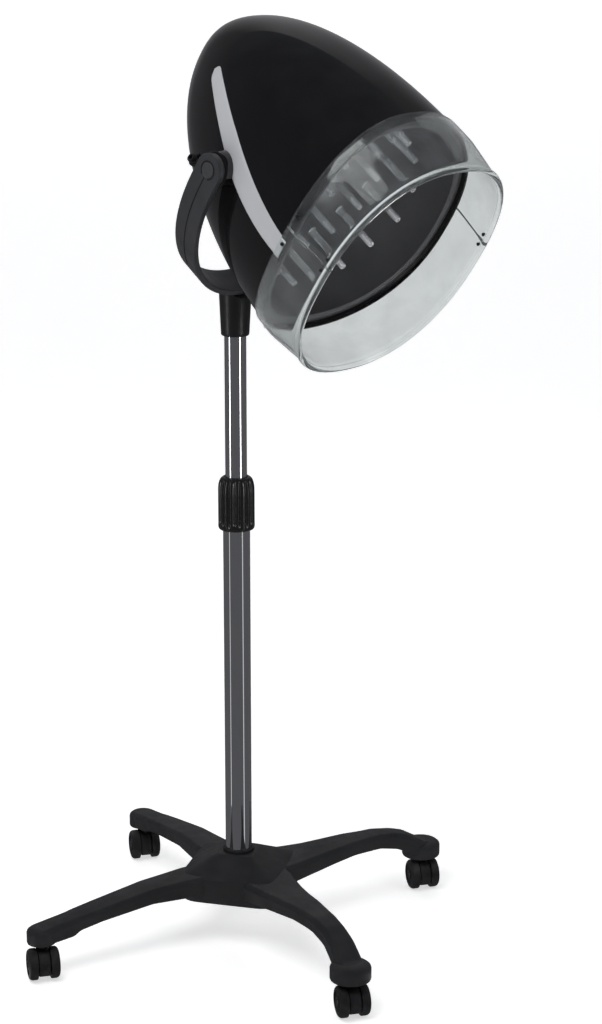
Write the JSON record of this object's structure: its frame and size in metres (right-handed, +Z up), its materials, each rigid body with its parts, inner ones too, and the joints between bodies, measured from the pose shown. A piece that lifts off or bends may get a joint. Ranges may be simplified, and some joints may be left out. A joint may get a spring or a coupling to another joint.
{
  "type": "hood hair dryer",
  "caption": "Salon hood hair dryer on a rolling stand: glossy tilting hood with a clear visor, held in a swivelling yoke on a telescoping chrome pole over a four-armed base.",
  "frame": {"origin": "on the floor, on the pole's axis", "axes": "+Z up along the pole; the hood faces -Y; +X is towards the sitter's left, where the controls are"},
  "size_m": [0.7038, 0.7701, 1.3851],
  "materials": {
    "base_plastic": "fine moulded grain, charcoal",
    "black_plastic": "plain moulded black",
    "grip_plastic": "glossy moulded black",
    "collar_plastic": "half-gloss moulded black",
    "chrome_tube": "polished chrome plate",
    "zinc_steel": "bright zinc plate",
    "yoke_metal": "satin dark grey, slightly metallic",
    "cap_metal": "satin grey",
    "fibre_washer": "pressed fibre",
    "gloss_black": "polished black",
    "silver_trim": "bright silver coating",
    "clear_plastic": "clear polished sheet",
    "dark_pin": "moulded dark pin",
    "liner_plastic": "satin dark grey",
    "finger_plastic": "clear moulded",
    "galvanised_sheet": "spangled zinc sheet",
    "fan_plastic": "filled nylon",
    "mica_board": "layered mica",
    "heating_wire": "oxidised resistance wire",
    "white_ceramic": "glazed white",
    "panel_plastic": "fine texture black",
    "knob_plastic": "soft gloss dark grey",
    "red_rocker": "glossy red",
    "amber_lens": "translucent amber",
    "black_rubber": "moulded rubber",
    "caster_plastic": "fine texture black",
    "wheel_plastic": "worn moulded nylon"
  },
  "bodies": {
    "base": {"base_frame": "base_plastic", "foot_plug": "zinc_steel", "base_bolt": "zinc_steel", "foot_ring": "black_plastic", "lower_pole": "chrome_tube", "guide_bush": "black_plastic", "lock_collet": "black_plastic"},
    "grip": {"lock_grip": "grip_plastic"},
    "mast": {"upper_pole": "chrome_tube", "glide_plug": "black_plastic"},
    "yoke": {"yoke_collar": "collar_plastic", "yoke_band": "yoke_metal", "pivot_bolts": "zinc_steel", "pivot_caps": "cap_metal"},
    "hood": {"friction_washers": "fibre_washer", "pivot_bosses": "gloss_black", "hood_shell": "gloss_black", "side_trims": "silver_trim", "front_visor": "clear_plastic", "rear_skirt": "clear_plastic", "skirt_pins": "dark_pin", "inner_dome": "liner_plastic", "air_fingers": "finger_plastic", "fan_plate": "galvanised_sheet", "motor_can": "galvanised_sheet", "heater_frame": "mica_board", "heater_coil": "heating_wire", "thermostat": "white_ceramic", "inlet_grille": "black_plastic", "control_panel": "panel_plastic", "pilot_lens": "amber_lens", "cable_gland": "black_rubber", "terminal_block": "white_ceramic", "panel_screws": "zinc_steel"},
    "fan": {"fan_rotor": "fan_plastic", "motor_shaft": "zinc_steel"},
    "timer": {"timer_knob": "knob_plastic"},
    "heat": {"heat_knob": "knob_plastic"},
    "rocker": {"power_rocker": "red_rocker"},
    "caster_1": {"caster_fork_1": "caster_plastic", "caster_stem_1": "zinc_steel", "caster_axle_1": "zinc_steel"},
    "wheel_1a": {"wheel_1a": "wheel_plastic"},
    "wheel_1b": {"wheel_1b": "wheel_plastic"},
    "caster_2": {"caster_fork_2": "caster_plastic", "caster_stem_2": "zinc_steel", "caster_axle_2": "zinc_steel"},
    "wheel_2a": {"wheel_2a": "wheel_plastic"},
    "wheel_2b": {"wheel_2b": "wheel_plastic"},
    "caster_3": {"caster_fork_3": "caster_plastic", "caster_stem_3": "zinc_steel", "caster_axle_3": "zinc_steel"},
    "wheel_3a": {"wheel_3a": "wheel_plastic"},
    "wheel_3b": {"wheel_3b": "wheel_plastic"},
    "caster_4": {"caster_fork_4": "caster_plastic", "caster_stem_4": "zinc_steel", "caster_axle_4": "zinc_steel"},
    "wheel_4a": {"wheel_4a": "wheel_plastic"},
    "wheel_4b": {"wheel_4b": "wheel_plastic"}
  },
  "joints": [
    {"name": "grip_turn", "type": "hinge", "parent": "base", "child": "grip", "pos_m": [0, 0, 0.68], "axis": [0, 0, 1], "range_deg": [0, 90]},
    {"name": "height_slide", "type": "slide", "parent": "base", "child": "mast", "axis": [0, 0, 1], "range_m": [-0.12, 0.3]},
    {"name": "yoke_swivel", "type": "hinge", "parent": "mast", "child": "yoke", "pos_m": [0, 0, 0.95], "axis": [0, 0, 1], "range_deg": [-170, 170]},
    {"name": "hood_tilt", "type": "hinge", "parent": "yoke", "child": "hood", "pos_m": [0, -0.13078, 1.19277], "axis": [1, 0, 0], "range_deg": [-20, 25]},
    {"name": "fan_spin", "type": "hinge", "parent": "hood", "child": "fan", "pos_m": [0, -0.07835, 1.25389], "axis": [0, 0.8192, 0.5736], "continuous": true},
    {"name": "timer_turn", "type": "hinge", "parent": "hood", "child": "timer", "pos_m": [0.12042, -0.02646, 1.22918], "axis": [0.9336, 0.2936, 0.2056], "range_deg": [-300, 0]},
    {"name": "heat_turn", "type": "hinge", "parent": "hood", "child": "heat", "pos_m": [0.12042, -0.04711, 1.25867], "axis": [0.9336, 0.2936, 0.2056], "range_deg": [-270, 0]},
    {"name": "rocker_tip", "type": "hinge", "parent": "hood", "child": "rocker", "pos_m": [0.1293, -0.05458, 1.21926], "axis": [0, -0.5736, 0.8192], "range_deg": [-20, 0]},
    {"name": "swivel_1", "type": "hinge", "parent": "base", "child": "caster_1", "pos_m": [0.31972, -0.08567, 0.052], "axis": [0, 0, 1], "continuous": true},
    {"name": "roll_1a", "type": "hinge", "parent": "caster_1", "child": "wheel_1a", "pos_m": [0.31472, -0.09433, 0.0235], "axis": [-0.866, 0.5, 0], "continuous": true},
    {"name": "roll_1b", "type": "hinge", "parent": "caster_1", "child": "wheel_1b", "pos_m": [0.31472, -0.09433, 0.0235], "axis": [-0.866, 0.5, 0], "continuous": true},
    {"name": "swivel_2", "type": "hinge", "parent": "base", "child": "caster_2", "pos_m": [0.08567, 0.31972, 0.052], "axis": [0, 0, 1], "continuous": true},
    {"name": "roll_2a", "type": "hinge", "parent": "caster_2", "child": "wheel_2a", "pos_m": [0.08067, 0.31106, 0.0235], "axis": [-0.866, 0.5, 0], "continuous": true},
    {"name": "roll_2b", "type": "hinge", "parent": "caster_2", "child": "wheel_2b", "pos_m": [0.08067, 0.31106, 0.0235], "axis": [-0.866, 0.5, 0], "continuous": true},
    {"name": "swivel_3", "type": "hinge", "parent": "base", "child": "caster_3", "pos_m": [-0.31972, 0.08567, 0.052], "axis": [0, 0, 1], "continuous": true},
    {"name": "roll_3a", "type": "hinge", "parent": "caster_3", "child": "wheel_3a", "pos_m": [-0.32472, 0.07701, 0.0235], "axis": [-0.866, 0.5, 0], "continuous": true},
    {"name": "roll_3b", "type": "hinge", "parent": "caster_3", "child": "wheel_3b", "pos_m": [-0.32472, 0.07701, 0.0235], "axis": [-0.866, 0.5, 0], "continuous": true},
    {"name": "swivel_4", "type": "hinge", "parent": "base", "child": "caster_4", "pos_m": [-0.08567, -0.31972, 0.052], "axis": [0, 0, 1], "continuous": true},
    {"name": "roll_4a", "type": "hinge", "parent": "caster_4", "child": "wheel_4a", "pos_m": [-0.09067, -0.32838, 0.0235], "axis": [-0.866, 0.5, 0], "continuous": true},
    {"name": "roll_4b", "type": "hinge", "parent": "caster_4", "child": "wheel_4b", "pos_m": [-0.09067, -0.32838, 0.0235], "axis": [-0.866, 0.5, 0], "continuous": true}
  ]
}
